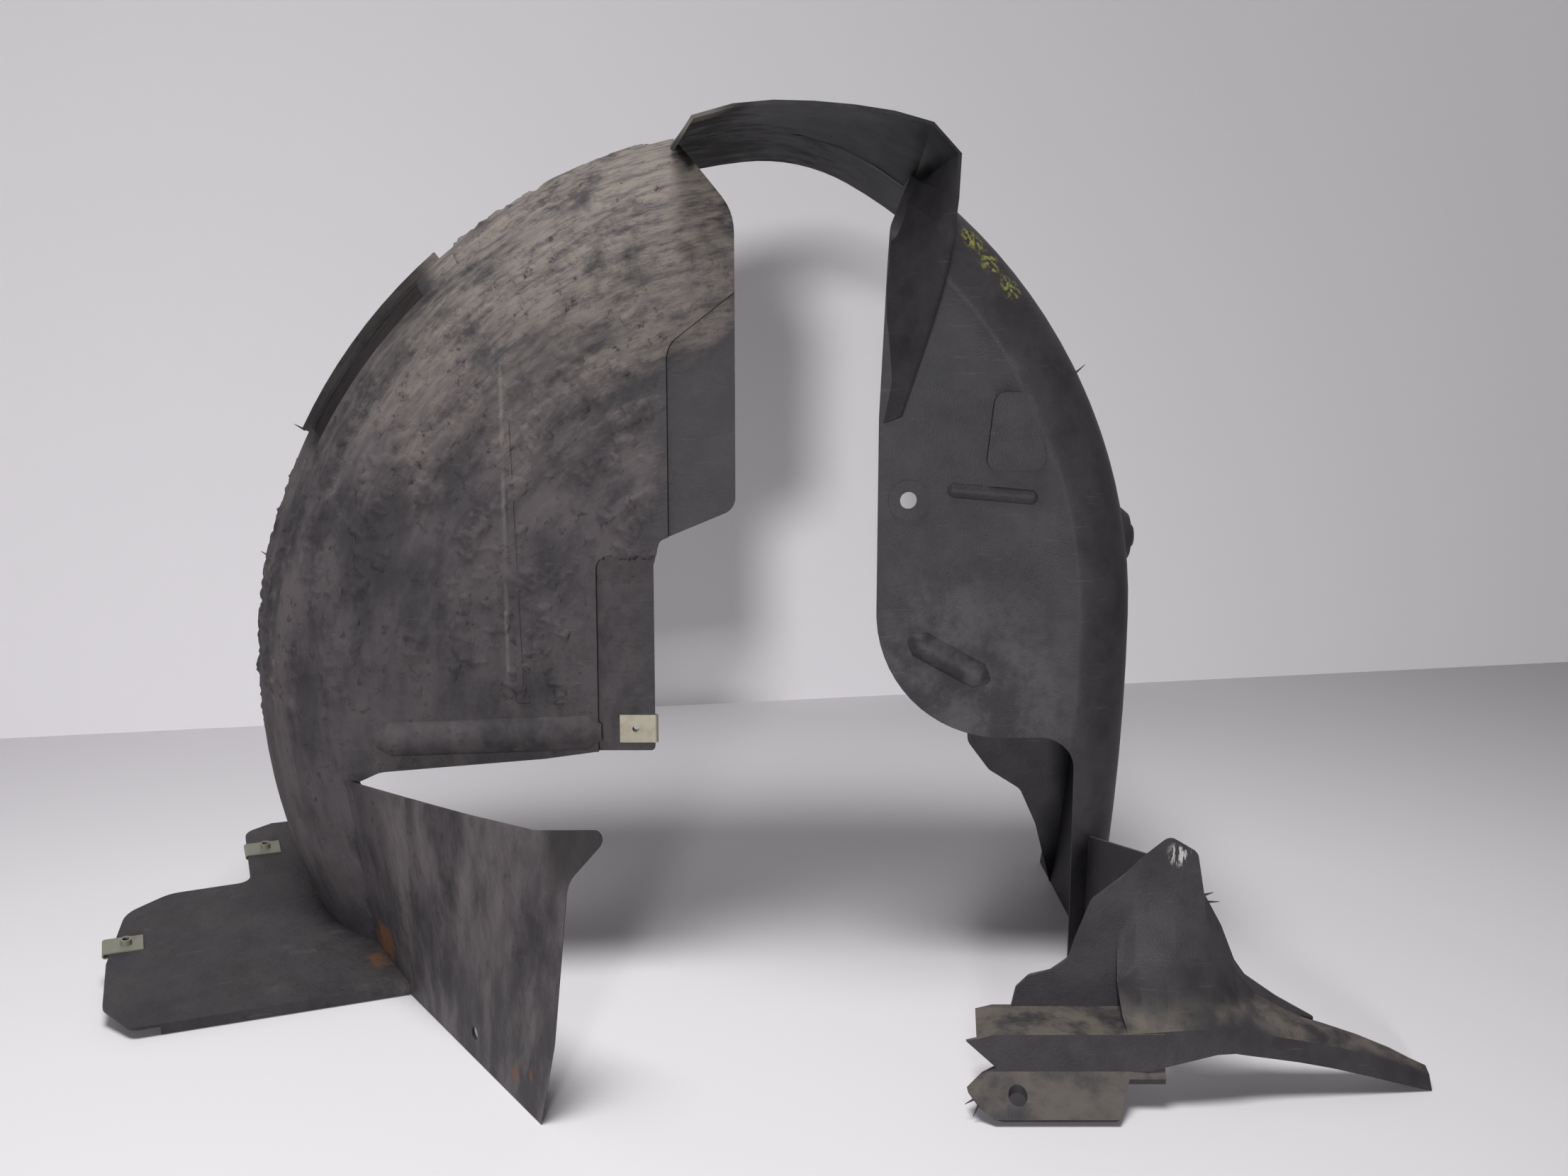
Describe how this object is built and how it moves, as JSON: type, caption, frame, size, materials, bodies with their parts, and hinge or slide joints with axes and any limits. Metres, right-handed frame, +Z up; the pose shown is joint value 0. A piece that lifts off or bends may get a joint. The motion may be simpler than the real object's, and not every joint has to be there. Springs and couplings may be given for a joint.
{
  "type": "mudguard",
  "caption": "Moulded front wheel-arch mudguard: arched barrel with an inner wall open for the strut, hood, splash panel, apron and a foot with a long arm.",
  "frame": {"origin": "middle of the bottom of the bounding box, on the floor the part stands on", "axes": "+X towards the rear of the car, +Y outwards to the wing, +Z up"},
  "size_m": [0.8836, 0.474, 0.6246],
  "materials": {
    "moulding": "matt black moulding, aged and dusty",
    "nut_steel": "dull plated spring steel",
    "rivet_plastic": "matt black"
  },
  "bodies": {
    "root": {"liner": "moulding", "spring_nuts": "nut_steel", "push_rivet": "rivet_plastic"}
  },
  "joints": []
}
